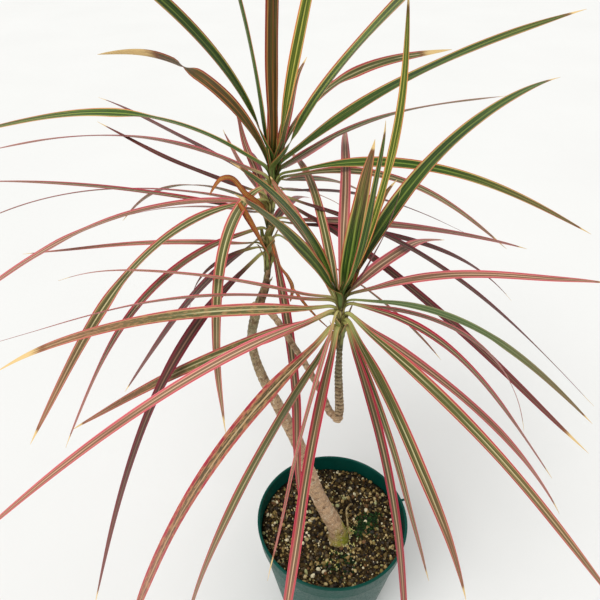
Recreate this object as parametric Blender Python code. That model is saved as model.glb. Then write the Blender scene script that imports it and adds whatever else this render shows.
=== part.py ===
"""Potted dracaena marginata: a leaning cane with two leafy shoots, in a round nursery pot.

Metres, +Z up. The origin is the centre of the pot's underside, and the plant is seen from -Y.
Angles are in degrees: an azimuth of 0 points along +X and 90 along +Y.
"""

import math

import bmesh
import bpy
import numpy as np

MM = 0.001
GAP = 0.3 * MM

# Nursery pot: a thin moulded shell with a taller, wider band at the rim.
POT_HEIGHT = 145 * MM
RIM_RADIUS = 77.5 * MM
BAND_HEIGHT = 21 * MM
BAND_STEP = 2.2 * MM
BAND_SLOPE = 1.5 * MM
SHOULDER_STEP = 0.8 * MM
FOOT_CHAMFER = 2 * MM
BASE_RADIUS = 56 * MM
POT_WALL = 1.5 * MM
LIP_WIDTH = 1.2 * MM
LIP_HEIGHT = 3 * MM
LIP_ROUND = 0.8 * MM
FLOOR_THICKNESS = 2 * MM
POT_SIDES = 64
DRAIN_HOLES = 8
DRAIN_RADIUS = 5 * MM
DRAIN_CIRCLE = 40 * MM
MOUNT_RADIUS = 25 * MM
LUG_AZIMUTH = 15
LUG_SIZE = (6 * MM, 4 * MM, 1.2 * MM)
LUG_SINK = 1 * MM
LUG_DROP = 1.8 * MM

# Potting mix
SOIL_TOP = 127 * MM
SOIL_MOUND = 3 * MM
SOCKET_ROOM = 1

# Cane and branches: points along the centre line, with a diameter at each, in mm.
TRUNK = (
    ((9, -16, 70), 17), ((7, -16, 122), 19), ((3, -14, 148), 17.5), ((-14, -10, 190), 14.5),
    ((-26, -7, 232), 13), ((-36, -5, 270), 11.6), ((-51, -3, 312), 10.4), ((-66, -1, 352), 8.2),
    ((-73, 0, 388), 7), ((-69, 0, 416), 7.6), ((-65, 1, 430), 6.4), ((-60, 5, 446), 4.8),
    ((-58, 12, 462), 4.6), ((-57, 22, 478), 5), ((-55, 33, 495), 5.2), ((-54, 42, 508), 5.2),
    ((-54, 50, 526), 4),
)
SIDE_BRANCH = (
    ((-71, 0, 421), 5), ((-61, -2, 425), 5.6), ((-52, -8, 419), 5), ((-38, -21, 402), 4.6),
    ((-28, -31, 390), 4.8), ((-18, -41, 375), 5.2), ((-11, -48, 360), 5.8), ((-5, -51, 357), 6.2),
    ((-4, -51, 366), 6.2), ((-5, -50, 385), 5.8), ((-6, -49, 405), 5), ((-6, -48, 425), 4.8),
    ((-6, -47, 447), 5), ((-7, -46, 474), 4),
)
CANE_SIDES = 12
CANE_STEP = 9 * MM

# Where each shoot's lowest and highest leaf grow: height in mm.
TALL_SHOOT_LEAVES = (466, 524)
SIDE_SHOOT_LEAVES = (440, 472)
# Under 1, the leaves sit closer together towards the top of the shoot.
LEAF_CROWDING = 0.6

# A leaf: azimuth, rise at its base, rise at its tip, bend, length, width, tone.
# A bend under 1 comes early, near the stem, and over 1 late. Lengths and widths are in mm.
# Each list runs from the lowest leaf, the oldest, to the highest.
TALL_SHOOT = (
    (210, -25, -70, 0.3, 400, 13, "maroon"),
    (165, -35, -58, 0.3, 260, 12, "maroon"),
    (298, -64, -84, 0.3, 292, 9, "crimson"),
    (200, 5, -63, 0.4, 268, 11, "crimson"),
    (28, -16, -50, 1.2, 340, 8, "maroon"),
    (30, -16, -28, 1, 330, 10, "pink"),
    (135, -12, -28, 0.6, 255, 9, "pink"),
    (157, 0, -14, 1, 350, 9, "crimson"),
    (134, 2, -43, 0.7, 285, 7, "khaki"),
    (152, 0, -28, 0.65, 390, 9, "crimson"),
    (168, 3, -37, 0.4, 370, 12, "pink"),
    (195, 12, -58, 0.28, 318, 11, "khaki"),
    (345, -20, -42, 0.3, 345, 11, "maroon"),
    (353, -10, -46, 0.5, 345, 11, "maroon"),
    (43, -14, -34, 0.4, 345, 8, "maroon"),
    (70, -24, -37, 0.8, 255, 9, "khaki"),
    (236, 44, -88, 0.2, 250, 11, "khaki"),
    (130, 0, -4, 1, 295, 8, "maroon"),
    (63, -18, -36, 1, 215, 8, "khaki"),
    (28, 6, -41, 0.4, 310, 10, "khaki"),
    (152, 16, -19, 0.45, 350, 10, "pink"),
    (12, 16, -31, 0.45, 310, 12, "green"),
    (71, -10, -14, 1, 270, 9, "pink"),
    (40, 20, -9, 0.35, 310, 10, "khaki"),
    (152, 28, -18, 0.35, 370, 10, "green"),
    (305, 58, 30, 1, 290, 13, "green"),
    (27, 34, 8, 0.45, 300, 13, "green"),
    (146, 68, -12, 0.6, 195, 11, "green"),
    (42, 66, -6, 0.35, 225, 9, "khaki"),
    (348, 80, 70, 1.5, 250, 11, "green"),
    (222, 78, 34, 0.5, 260, 12, "green"),
    (290, 88, 86, 1, 240, 12, "green"),
)
SIDE_SHOOT = (
    (205, -55, -75, 1, 350, 12, "crimson"),
    (197, -42, -71, 0.7, 380, 11, "pink"),
    (240, -65, -80, 0.5, 330, 11, "khaki"),
    (312, -52, -71, 0.8, 225, 9, "khaki"),
    (302, -48, -78, 0.5, 320, 13, "crimson"),
    (316, -42, -66, 0.6, 245, 12, "khaki"),
    (170, -26, -41, 0.6, 290, 13, "khaki"),
    (345, -28, -60, 1.2, 245, 9, "pink"),
    (330, -25, -46, 0.6, 300, 11, "khaki"),
    (197, -8, -40, 0.5, 330, 11, "crimson"),
    (175, -2, -37, 1.3, 285, 9, "khaki"),
    (232, -62, -74, 0.7, 240, 9, "khaki"),
    (2, 2, -74, 0.8, 212, 7, "pink"),
    (350, 6, -55, 0.3, 235, 9, "crimson"),
    (170, 6, -26, 0.45, 310, 9, "pink"),
    (356, 14, -46, 0.4, 232, 10, "green"),
    (164, 4, -26, 1.8, 225, 7, "pink"),
    (54, 8, -26, 0.7, 172, 10, "pink"),
    (14, 20, -16, 0.35, 220, 11, "khaki"),
    (86, 40, -22, 1, 220, 11, "pink"),
    (235, 60, 43, 1, 150, 10, "green"),
    (206, 74, 40, 1.2, 133, 9, "green"),
    (38, 62, -2, 0.85, 240, 14, "green"),
    (8, 80, 86, 1, 187, 10, "green"),
    (314, 70, 86, 0.6, 127, 11, "green"),
)
LEAF_SEGMENTS = 16
LEAF_THICKNESS = 0.9 * MM
LEAF_FOLD = 0.12
LEAF_FOOT = 2.6 * MM
STEM_CLEARANCE = 0.9 * MM

# Colours as linear RGB, with a roughness.
TONES = {
    "green": ((0.10, 0.16, 0.035), 0.45),
    "khaki": ((0.33, 0.28, 0.14), 0.5),
    "pink": ((0.56, 0.22, 0.20), 0.5),
    "crimson": ((0.36, 0.06, 0.06), 0.5),
    "maroon": ((0.15, 0.05, 0.04), 0.5),
}
POT_COLOUR = ((0.012, 0.055, 0.048), 0.45)
SOIL_COLOUR = ((0.045, 0.028, 0.014), 0.95)
CANE_COLOUR = ((0.42, 0.31, 0.18), 0.8)


def material(name, colour, roughness):
    made = bpy.data.materials.new(name)
    made.use_nodes = True
    shader = made.node_tree.nodes["Principled BSDF"]
    shader.inputs["Base Color"].default_value = (*colour, 1)
    shader.inputs["Roughness"].default_value = roughness
    return made


def add_object(name, mesh, look):
    made = bpy.data.objects.new(name, mesh)
    mesh.materials.append(look)
    mesh.shade_smooth()
    bpy.context.scene.collection.objects.link(made)
    return made


def mesh_of(name, vertices, faces):
    mesh = bpy.data.meshes.new(name)
    mesh.from_pydata([tuple(map(float, v)) for v in vertices], [], faces)
    mesh.validate()
    return mesh


def cut(target, cutter, operation="DIFFERENCE"):
    """Applies one object to another with a Boolean modifier, and hides the one that was used."""
    step = target.modifiers.new(cutter.name, "BOOLEAN")
    step.operation = operation
    step.object = cutter
    cutter.hide_render = True
    cutter.display_type = "WIRE"


def turned(name, profile, sides, look):
    """A closed outline of (radius, height) points, turned about Z. A radius of 0 is on the axis."""
    rings = []
    vertices = []
    for radius, height in profile:
        count = sides if radius > 0 else 1
        rings.append(range(len(vertices), len(vertices) + count))
        angles = np.arange(count) * math.tau / count
        vertices += [(radius * math.cos(a), radius * math.sin(a), height) for a in angles]
    faces = []
    for low, high in zip(rings, rings[1:] + rings[:1]):
        for i in range(sides):
            j = (i + 1) % sides
            corners = [low[i % len(low)], low[j % len(low)], high[j % len(high)], high[i % len(high)]]
            corners = list(dict.fromkeys(corners))
            if len(corners) > 2:
                faces.append(corners)
    return add_object(name, mesh_of(name, vertices, faces), look)


def wall_radius(height):
    """The outer radius of the pot's tapered wall, below its band."""
    top = RIM_RADIUS - BAND_STEP
    return BASE_RADIUS + (top - BASE_RADIUS) * height / (POT_HEIGHT - BAND_HEIGHT)


def pot_outline():
    """The shell's section: up the outer side, over the lip and down the inner side."""
    band = POT_HEIGHT - BAND_HEIGHT
    shoulder = RIM_RADIUS - SHOULDER_STEP
    return [
        (0, 0),
        (MOUNT_RADIUS, 0),
        (BASE_RADIUS - FOOT_CHAMFER, 0),
        (BASE_RADIUS, FOOT_CHAMFER),
        (wall_radius(band), band),
        (shoulder, band + BAND_SLOPE),
        (RIM_RADIUS, POT_HEIGHT - LIP_HEIGHT),
        (RIM_RADIUS + LIP_WIDTH, POT_HEIGHT - LIP_HEIGHT + LIP_WIDTH / 2),
        (RIM_RADIUS + LIP_WIDTH, POT_HEIGHT - LIP_ROUND),
        (RIM_RADIUS + LIP_ROUND / 2, POT_HEIGHT),
        (RIM_RADIUS - POT_WALL + LIP_ROUND / 2, POT_HEIGHT),
        (RIM_RADIUS - POT_WALL, POT_HEIGHT - LIP_ROUND),
        (shoulder - POT_WALL, band + BAND_SLOPE),
        (wall_radius(band) - POT_WALL, band - BAND_SLOPE),
        (wall_radius(FLOOR_THICKNESS + FOOT_CHAMFER) - POT_WALL, FLOOR_THICKNESS + FOOT_CHAMFER),
        (BASE_RADIUS - POT_WALL - FOOT_CHAMFER, FLOOR_THICKNESS),
        (MOUNT_RADIUS, FLOOR_THICKNESS),
        (0, FLOOR_THICKNESS),
    ]


def drain_cutter():
    mesh = bpy.data.meshes.new("drain_cutter")
    shape = bmesh.new()
    for i in range(DRAIN_HOLES):
        made = bmesh.ops.create_cone(
            shape, cap_ends=True, segments=14, depth=4 * FLOOR_THICKNESS,
            radius1=DRAIN_RADIUS, radius2=DRAIN_RADIUS,
        )
        angle = (i + 0.5) * math.tau / DRAIN_HOLES
        place = (DRAIN_CIRCLE * math.cos(angle), DRAIN_CIRCLE * math.sin(angle), FLOOR_THICKNESS / 2)
        bmesh.ops.translate(shape, vec=place, verts=made["verts"])
    shape.to_mesh(mesh)
    shape.free()
    return add_object("drain_cutter", mesh, material("drain_cutter", (1, 1, 1), 1))


def rim_lug():
    """The small moulded tab that stands out from the lip."""
    mesh = bpy.data.meshes.new("rim_lug")
    shape = bmesh.new()
    bmesh.ops.create_cube(shape, size=1)
    bmesh.ops.scale(shape, vec=LUG_SIZE, verts=shape.verts)
    shape.to_mesh(mesh)
    shape.free()
    made = add_object("rim_lug", mesh, material("rim_lug", *POT_COLOUR))
    reach = RIM_RADIUS + LIP_WIDTH + LUG_SIZE[0] / 2 - LUG_SINK
    angle = math.radians(LUG_AZIMUTH)
    made.location = (reach * math.cos(angle), reach * math.sin(angle), POT_HEIGHT - LUG_DROP)
    made.rotation_euler = (0, 0, angle)
    return made


def build_pot():
    pot = turned("nursery_pot", pot_outline(), POT_SIDES, material("pot_plastic", *POT_COLOUR))
    cut(pot, drain_cutter())
    cut(pot, rim_lug(), "UNION")


def build_soil():
    """Potting mix that fills the pot, a gap inside its wall, with a socket for the cane."""
    band = POT_HEIGHT - BAND_HEIGHT
    inset = POT_WALL + GAP
    low = FLOOR_THICKNESS + FOOT_CHAMFER
    brim = RIM_RADIUS - SHOULDER_STEP - inset
    outline = [
        (0, FLOOR_THICKNESS + GAP),
        (BASE_RADIUS - inset - 2.2 * MM, FLOOR_THICKNESS + GAP),
        (wall_radius(low) - inset, low + GAP),
        (wall_radius(band) - inset, band - BAND_SLOPE),
        (brim, SOIL_TOP - 1 * MM),
        (brim - 3 * MM, SOIL_TOP),
        (0.5 * brim, SOIL_TOP + 0.6 * SOIL_MOUND),
        (0, SOIL_TOP + SOIL_MOUND),
    ]
    soil = turned("potting_mix", outline, POT_SIDES, material("potting_mix", *SOIL_COLOUR))
    (x, y, z), diameter = TRUNK[0]
    below = ((x, y, z - SOCKET_ROOM), diameter)
    socket = tube("socket_cutter", (below, *TRUNK[1:3]), CANE_SIDES, 2 * GAP)
    cut(soil, socket)


def through(points, samples):
    """A smooth curve through a list of points: Catmull-Rom, with samples between each two."""
    points = np.array(points, float)
    ends = np.vstack([2 * points[0] - points[1], points, 2 * points[-1] - points[-2]])
    made = []
    for a, b, c, d in zip(ends, ends[1:], ends[2:], ends[3:]):
        for t in np.arange(samples) / samples:
            made.append(
                0.5 * (2 * b + (c - a) * t + (2 * a - 5 * b + 4 * c - d) * t**2 + (3 * b - a - 3 * c + d) * t**3)
            )
    return np.array(made + [points[-1]])


def stem_curve(stem, samples=6):
    """The centre line in metres, and the radius at each point."""
    rows = through([(*place, diameter) for place, diameter in stem], samples)
    return rows[:, :3] * MM, rows[:, 3] * MM / 2


def frames(path):
    """Two unit vectors across the path at each point, carried along it without spinning."""
    along = np.gradient(path, axis=0)
    along /= np.linalg.norm(along, axis=1)[:, None]
    side = np.cross(along[0], (0, 1, 0))
    sides = []
    for step in along:
        side = side - (side @ step) * step
        side = side / np.linalg.norm(side)
        sides.append(side)
    sides = np.array(sides)
    return sides, np.cross(along, sides)


def tube(name, stem, count, extra=0.0):
    """A closed tube along a stem, with rings about CANE_STEP apart."""
    path, radii = stem_curve(stem)
    run = np.r_[0, np.cumsum(np.linalg.norm(np.diff(path, axis=0), axis=1))]
    rings = max(3, int(round(run[-1] / CANE_STEP)) + 1)
    stops = np.linspace(0, run[-1], rings)
    path = np.stack([np.interp(stops, run, path[:, k]) for k in range(3)], axis=1)
    radii = np.interp(stops, run, radii) + extra
    left, up = frames(path)
    angles = np.arange(count) * math.tau / count
    circle = [math.cos(a) * left + math.sin(a) * up for a in angles]
    vertices = np.stack([path + radii[:, None] * c for c in circle], axis=1).reshape(-1, 3)
    faces = [list(range(count))[::-1], [count * (rings - 1) + i for i in range(count)]]
    for ring in range(rings - 1):
        for i in range(count):
            j = (i + 1) % count
            low, high = ring * count, (ring + 1) * count
            faces.append([low + i, low + j, high + j, high + i])
    return add_object(name, mesh_of(name, vertices, faces), material(name, *CANE_COLOUR))


def build_cane():
    """The cane with its two branches, which grew as one piece."""
    cane = tube("cane", TRUNK, CANE_SIDES)
    cut(cane, tube("side_branch", SIDE_BRANCH, CANE_SIDES), "UNION")


def eased(t, bend):
    """0 to 1 along the leaf: how much of its bend it has made. Under 1 it bends early."""
    return t**bend if bend >= 1 else 1 - (1 - t) ** (1 / bend)


def leaf_line(foot, azimuth, rise, tip_rise, bend, length):
    """The way along the leaf, 0 to 1, its midrib from the foot, and the two ways across it."""
    t = np.linspace(0, 1, LEAF_SEGMENTS + 1)
    slope = np.radians(rise + (tip_rise - rise) * eased(t, bend))
    heading = math.radians(azimuth)
    outward = np.array([math.cos(heading), math.sin(heading), 0])
    up = np.array([0, 0, 1])
    along = np.cos(slope)[:, None] * outward + np.sin(slope)[:, None] * up
    normal = np.cos(slope)[:, None] * up - np.sin(slope)[:, None] * outward
    steps = (along[1:] + along[:-1]) / 2 * length / LEAF_SEGMENTS
    line = foot + np.vstack([np.zeros(3), np.cumsum(steps, axis=0)])
    return t, line, np.cross(up, outward), normal


def leaf_width(t, width):
    """Narrow where it leaves the stem, widest over the first half, then tapering to a point."""
    grown = np.clip(t / 0.16, 0, 1)
    spread = LEAF_FOOT + (width - LEAF_FOOT) * grown**2 * (3 - 2 * grown)
    return spread * (1 - t**2.6) ** 0.9


def build_leaf(name, foot, shape, looks):
    azimuth, rise, tip_rise, bend, length, width, tone = shape
    t, line, side, normal = leaf_line(foot, azimuth, rise, tip_rise, bend, length * MM)
    half = (leaf_width(t, width * MM) / 2)[:, None]
    thick = LEAF_THICKNESS / 2 * (1 - 0.5 * t)[:, None]
    edge = line + 2 * LEAF_FOLD * half * normal
    section = [edge + half * side, line + thick * normal, edge - half * side, line - thick * normal]
    vertices = np.stack(section, axis=1)[:-1].reshape(-1, 3)
    tip = len(vertices)
    vertices = np.vstack([vertices, line[-1:]])
    faces = [[3, 2, 1, 0]]
    for ring in range(LEAF_SEGMENTS):
        for i in range(4):
            low, high = 4 * ring, 4 * ring + 4
            j = (i + 1) % 4
            if high < tip:
                faces.append([low + i, low + j, high + j, high + i])
            else:
                faces.append([low + i, low + j, tip])
    add_object(name, mesh_of(name, vertices, faces), looks[tone])


def build_shoot(name, stem, heights, leaves, looks):
    """Sets the leaves up the stem, closer together towards its top, each foot just off the bark."""
    path, radii = stem_curve(stem)
    rising = np.nonzero(path[:, 2] >= heights[0] * MM - 10 * MM)[0]
    first = rising[rising > len(path) // 2][0]
    path, radii = path[first:], radii[first:]
    for i, shape in enumerate(leaves):
        share = (i / (len(leaves) - 1)) ** LEAF_CROWDING
        height = (heights[0] + (heights[1] - heights[0]) * share) * MM
        centre = np.array([np.interp(height, path[:, 2], path[:, k]) for k in range(3)])
        reach = np.interp(height, path[:, 2], radii) + STEM_CLEARANCE
        angle = math.radians(shape[0])
        foot = centre + reach * np.array([math.cos(angle), math.sin(angle), 0])
        build_leaf(f"{name}_{i + 1:02d}", foot, shape, looks)


def main():
    for old in list(bpy.data.objects):
        bpy.data.objects.remove(old)
    build_pot()
    build_soil()
    build_cane()
    looks = {tone: material(f"leaf_{tone}", *look) for tone, look in TONES.items()}
    build_shoot("tall_shoot_leaf", TRUNK, TALL_SHOOT_LEAVES, TALL_SHOOT, looks)
    build_shoot("side_shoot_leaf", SIDE_BRANCH, SIDE_SHOOT_LEAVES, SIDE_SHOOT, looks)


if __name__ == "__main__":
    main()
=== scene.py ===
"""Looks of the potted dracaena: striped leaves, a ringed cane, gritty potting mix and a satin pot.

Metres, +Z up, in the CAD frame. Azimuths are in degrees, 0 along +X and 90 along +Y.
"""

import math

import bmesh
import bpy
import numpy as np
from mathutils import Euler, Matrix, Vector, kdtree, noise


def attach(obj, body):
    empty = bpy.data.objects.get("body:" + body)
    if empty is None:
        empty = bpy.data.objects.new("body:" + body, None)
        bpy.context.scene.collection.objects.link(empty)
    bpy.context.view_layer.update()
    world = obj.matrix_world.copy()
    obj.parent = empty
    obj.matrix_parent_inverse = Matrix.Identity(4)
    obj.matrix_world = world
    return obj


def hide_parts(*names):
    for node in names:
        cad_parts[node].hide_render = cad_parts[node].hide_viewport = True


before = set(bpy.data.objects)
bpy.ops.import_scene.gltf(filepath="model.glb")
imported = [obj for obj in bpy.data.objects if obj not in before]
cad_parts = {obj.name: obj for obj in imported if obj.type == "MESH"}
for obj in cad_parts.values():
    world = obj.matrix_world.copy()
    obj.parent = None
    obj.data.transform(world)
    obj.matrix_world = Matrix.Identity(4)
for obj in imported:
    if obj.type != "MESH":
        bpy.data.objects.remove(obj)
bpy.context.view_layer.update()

MM = 0.001

# ------------ the plant's plan, as in the CAD

# Points along each centre line, with a diameter at each, in mm.
TRUNK = (
    ((9, -16, 70), 17), ((7, -16, 122), 19), ((3, -14, 148), 17.5), ((-14, -10, 190), 14.5),
    ((-26, -7, 232), 13), ((-36, -5, 270), 11.6), ((-51, -3, 312), 10.4), ((-66, -1, 352), 8.2),
    ((-73, 0, 388), 7), ((-69, 0, 416), 7.6), ((-65, 1, 430), 6.4), ((-60, 5, 446), 4.8),
    ((-58, 12, 462), 4.6), ((-57, 22, 478), 5), ((-55, 33, 495), 5.2), ((-54, 42, 508), 5.2),
    ((-54, 50, 526), 4),
)
SIDE_BRANCH = (
    ((-71, 0, 421), 5), ((-61, -2, 425), 5.6), ((-52, -8, 419), 5), ((-38, -21, 402), 4.6),
    ((-28, -31, 390), 4.8), ((-18, -41, 375), 5.2), ((-11, -48, 360), 5.8), ((-5, -51, 357), 6.2),
    ((-4, -51, 366), 6.2), ((-5, -50, 385), 5.8), ((-6, -49, 405), 5), ((-6, -48, 425), 4.8),
    ((-6, -47, 447), 5), ((-7, -46, 474), 4),
)
TALL_SHOOT_LEAVES = (466, 524)
SIDE_SHOOT_LEAVES = (440, 472)
LEAF_CROWDING = 0.6

# A leaf: azimuth, rise at its base, rise at its tip, bend, length, width, tone.
TALL_SHOOT = (
    (210, -25, -70, 0.3, 400, 13, "maroon"),
    (165, -35, -58, 0.3, 260, 12, "maroon"),
    (298, -64, -84, 0.3, 292, 9, "crimson"),
    (200, 5, -63, 0.4, 268, 11, "crimson"),
    (28, -16, -50, 1.2, 340, 8, "maroon"),
    (30, -16, -28, 1, 330, 10, "pink"),
    (135, -12, -28, 0.6, 255, 9, "pink"),
    (157, 0, -14, 1, 350, 9, "crimson"),
    (134, 2, -43, 0.7, 285, 7, "khaki"),
    (152, 0, -28, 0.65, 390, 9, "crimson"),
    (168, 3, -37, 0.4, 370, 12, "pink"),
    (195, 12, -58, 0.28, 318, 11, "khaki"),
    (345, -20, -42, 0.3, 345, 11, "maroon"),
    (353, -10, -46, 0.5, 345, 11, "maroon"),
    (43, -14, -34, 0.4, 345, 8, "maroon"),
    (70, -24, -37, 0.8, 255, 9, "khaki"),
    (236, 44, -88, 0.2, 250, 11, "khaki"),
    (130, 0, -4, 1, 295, 8, "maroon"),
    (63, -18, -36, 1, 215, 8, "khaki"),
    (28, 6, -41, 0.4, 310, 10, "khaki"),
    (152, 16, -19, 0.45, 350, 10, "pink"),
    (12, 16, -31, 0.45, 310, 12, "green"),
    (71, -10, -14, 1, 270, 9, "pink"),
    (40, 20, -9, 0.35, 310, 10, "khaki"),
    (152, 28, -18, 0.35, 370, 10, "green"),
    (305, 58, 30, 1, 290, 13, "green"),
    (27, 34, 8, 0.45, 300, 13, "green"),
    (146, 68, -12, 0.6, 195, 11, "green"),
    (42, 66, -6, 0.35, 225, 9, "khaki"),
    (348, 80, 70, 1.5, 250, 11, "green"),
    (222, 78, 34, 0.5, 260, 12, "green"),
    (290, 88, 86, 1, 240, 12, "green"),
)
SIDE_SHOOT = (
    (205, -55, -75, 1, 350, 12, "crimson"),
    (197, -42, -71, 0.7, 380, 11, "pink"),
    (240, -65, -80, 0.5, 330, 11, "khaki"),
    (312, -52, -71, 0.8, 225, 9, "khaki"),
    (302, -48, -78, 0.5, 320, 13, "crimson"),
    (316, -42, -66, 0.6, 245, 12, "khaki"),
    (170, -26, -41, 0.6, 290, 13, "khaki"),
    (345, -28, -60, 1.2, 245, 9, "pink"),
    (330, -25, -46, 0.6, 300, 11, "khaki"),
    (197, -8, -40, 0.5, 330, 11, "crimson"),
    (175, -2, -37, 1.3, 285, 9, "khaki"),
    (232, -62, -74, 0.7, 240, 9, "khaki"),
    (2, 2, -74, 0.8, 212, 7, "pink"),
    (350, 6, -55, 0.3, 235, 9, "crimson"),
    (170, 6, -26, 0.45, 310, 9, "pink"),
    (356, 14, -46, 0.4, 232, 10, "green"),
    (164, 4, -26, 1.8, 225, 7, "pink"),
    (54, 8, -26, 0.7, 172, 10, "pink"),
    (14, 20, -16, 0.35, 220, 11, "khaki"),
    (86, 40, -22, 1, 220, 11, "pink"),
    (235, 60, 43, 1, 150, 10, "green"),
    (206, 74, 40, 1.2, 133, 9, "green"),
    (38, 62, -2, 0.85, 240, 14, "green"),
    (8, 80, 86, 1, 187, 10, "green"),
    (314, 70, 86, 0.6, 127, 11, "green"),
)

# Leaves that the CAD leaves out: foot height in mm, then a row as above.
TALL_EXTRAS = (
    (470, (160, -8, -19, 0.7, 255, 6, "pink")),
    (468, (190, 10, -80, 0.8, 90, 5, "maroon")),
    (500, (150, 4, 18, 2, 170, 5, "maroon")),
    (518, (190, 86, 70, 1.5, 180, 7, "green")),
    (505, (90, 82, 12, 1, 112, 9, "green")),
    (508, (65, 70, 40, 1, 95, 8, "khaki")),
    (476, (15, -34, -55, 0.8, 235, 8, "khaki")),
    (490, (115, 40, 45, 1, 85, 7, "pink")),
    (494, (118, 12, 24, 1, 92, 7, "pink")),
    (480, (78, -4, -30, 0.8, 150, 8, "crimson")),
    (486, (100, 14, -22, 0.8, 170, 8, "maroon")),
)
SIDE_EXTRAS = (
    (462, (40, 75, 55, 1, 90, 8, "green")),
    (464, (160, 76, 32, 1, 106, 9, "khaki")),
    (452, (100, 40, -22, 1, 215, 8, "khaki")),
    (456, (120, 52, 8, 1, 120, 8, "khaki")),
    (462, (50, 82, 76, 1, 112, 14, "green")),
    (468, (350, 62, 80, 1, 88, 6, "maroon")),
    (466, (20, 70, 88, 1, 70, 5, "maroon")),
)

# What sets single leaves apart, by number: roll and a fold (share of the length, turn) in degrees,
# an outward bow in mm, a factor on the width, the power of its taper, where along it it turns dry,
# how worn it is, 0 to 1, and its look where that isn't its tone's.
TALL_SPECIAL = {
    1: dict(roll=-30, fold=(0.3, 20), width=0.8),
    2: dict(roll=-20, width=1.05),
    3: dict(roll=-10, fold=(0.5, 25), width=1.1),
    4: dict(roll=6, width=1.05),
    7: dict(dry_from=0.86),
    10: dict(roll=10),
    11: dict(roll=4, fold=(0.5, -18), width=1.2),
    12: dict(roll=0, fold=(0.45, -30), width=1.1),
    13: dict(roll=12, width=0.92, dry_from=0.9),
    14: dict(roll=4, width=0.8),
    17: dict(roll=0, width=1.05, dry_from=0.9),
    20: dict(wear=0.4, dry_from=0.88),
    22: dict(roll=20, fold=(0.16, 30), width=0.72),
    24: dict(roll=0, dry_from=0.9),
    25: dict(fold=(0.35, -50)),
    26: dict(roll=50, width=1.2),
    27: dict(roll=0, width=0.95),
    28: dict(roll=-10, fold=(0.5, 75), dry_from=0.66, look="bronze"),
    29: dict(roll=0, fold=(0.4, 50), dry_from=0.8),
    30: dict(roll=58, width=0.95, look="golden"),
    31: dict(roll=-50, width=0.85),
    32: dict(roll=12, width=0.9, look="bronze"),
}
SIDE_SPECIAL = {
    1: dict(width=1.05, taper=6, look="khaki"),
    2: dict(roll=-6, wear=0.7, width=1.4, taper=7, look="crimson"),
    3: dict(roll=6, width=0.98, taper=8, look="crimson"),
    5: dict(roll=-12, width=0.72),
    6: dict(width=0.85),
    7: dict(roll=-50, width=0.85, taper=2.2, dry_from=0.93, wear=0.5),
    10: dict(roll=-10, width=0.75, look="pink"),
    11: dict(roll=-38, wear=0.6, dry_from=0.8, width=1.1),
    12: dict(roll=20, width=0.55, dry_from=0.88, look="pink"),
    16: dict(roll=15, fold=(0.5, 50), width=0.58, look="sage"),
    19: dict(roll=25, width=0.62, look="pink"),
    20: dict(width=0.78),
    21: dict(roll=-62, width=1.2),
    22: dict(roll=-45, width=1.15),
    24: dict(roll=30, fold=(0.5, 30), bow=8, width=0.6, look="golden"),
    25: dict(width=0.6),
}

# Short leaf bases below each shoot: lowest and highest foot in mm, and how many.
TALL_STUBS = (458, 474, 8)
SIDE_STUBS = (430, 444, 6)
GOLDEN_ANGLE = 137.5
FIRST_STUB_AZIMUTH = 40
STUB_AGE = 0.4
EXTRA_SEED, STUB_SEED = 50, 80

# ------------ shape helpers


def smooth(t, low=0.0, high=1.0):
    """0 below low, 1 above high, and an S curve between them."""
    t = np.clip((np.asarray(t, float) - low) / (high - low), 0, 1)
    return t * t * (3 - 2 * t)


def through(points, samples):
    """A smooth curve through a list of points: Catmull-Rom, with samples between each two."""
    points = np.array(points, float)
    ends = np.vstack([2 * points[0] - points[1], points, 2 * points[-1] - points[-2]])
    made = []
    for a, b, c, d in zip(ends, ends[1:], ends[2:], ends[3:]):
        square, cube = 2 * a - 5 * b + 4 * c - d, 3 * b - a - 3 * c + d
        for t in np.arange(samples) / samples:
            made.append(0.5 * (2 * b + (c - a) * t + square * t**2 + cube * t**3))
    return np.array(made + [points[-1]])


def run_of(path):
    """The distance along a path at each of its points."""
    return np.r_[0, np.cumsum(np.linalg.norm(np.diff(path, axis=0), axis=1))]


def evenly(path, step):
    """The rows of a path, at even distances along its first three columns."""
    run = run_of(path[:, :3])
    stops = np.linspace(0, run[-1], max(3, int(round(run[-1] / step)) + 1))
    return np.stack([np.interp(stops, run, column) for column in path.T], axis=1), stops


def unit(rows):
    return rows / np.linalg.norm(rows, axis=-1, keepdims=True)


def frames(path, start=(0, 1, 0)):
    """The way along a path, and two unit vectors across it, carried along without spinning."""
    along = unit(np.gradient(path, axis=0))
    side = np.cross(along[0], start)
    sides = []
    for step in along:
        side = side - (side @ step) * step
        side = side / np.linalg.norm(side)
        sides.append(side)
    sides = np.array(sides)
    return along, sides, np.cross(along, sides)


def around(radius, sides, offset=0.0):
    """Points (x, y) at even angles on a circle, the first one offset by a share of the spacing."""
    angles = (np.arange(sides) + offset) * math.tau / sides
    return [(radius * math.cos(angle), radius * math.sin(angle)) for angle in angles]


def grain_noise(x, y, z=0.0):
    return noise.noise(Vector((x, y, z)))


def icosphere(rounds):
    """The points and triangles of a unit ball."""
    shape = bmesh.new()
    bmesh.ops.create_icosphere(shape, subdivisions=rounds, radius=1)
    points = np.array([v.co[:] for v in shape.verts])
    faces = np.array([[v.index for v in f.verts] for f in shape.faces])
    shape.free()
    return points, faces


def placed(name, data):
    """A new object in the scene."""
    item = bpy.data.objects.new(name, data)
    bpy.context.scene.collection.objects.link(item)
    return item


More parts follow.
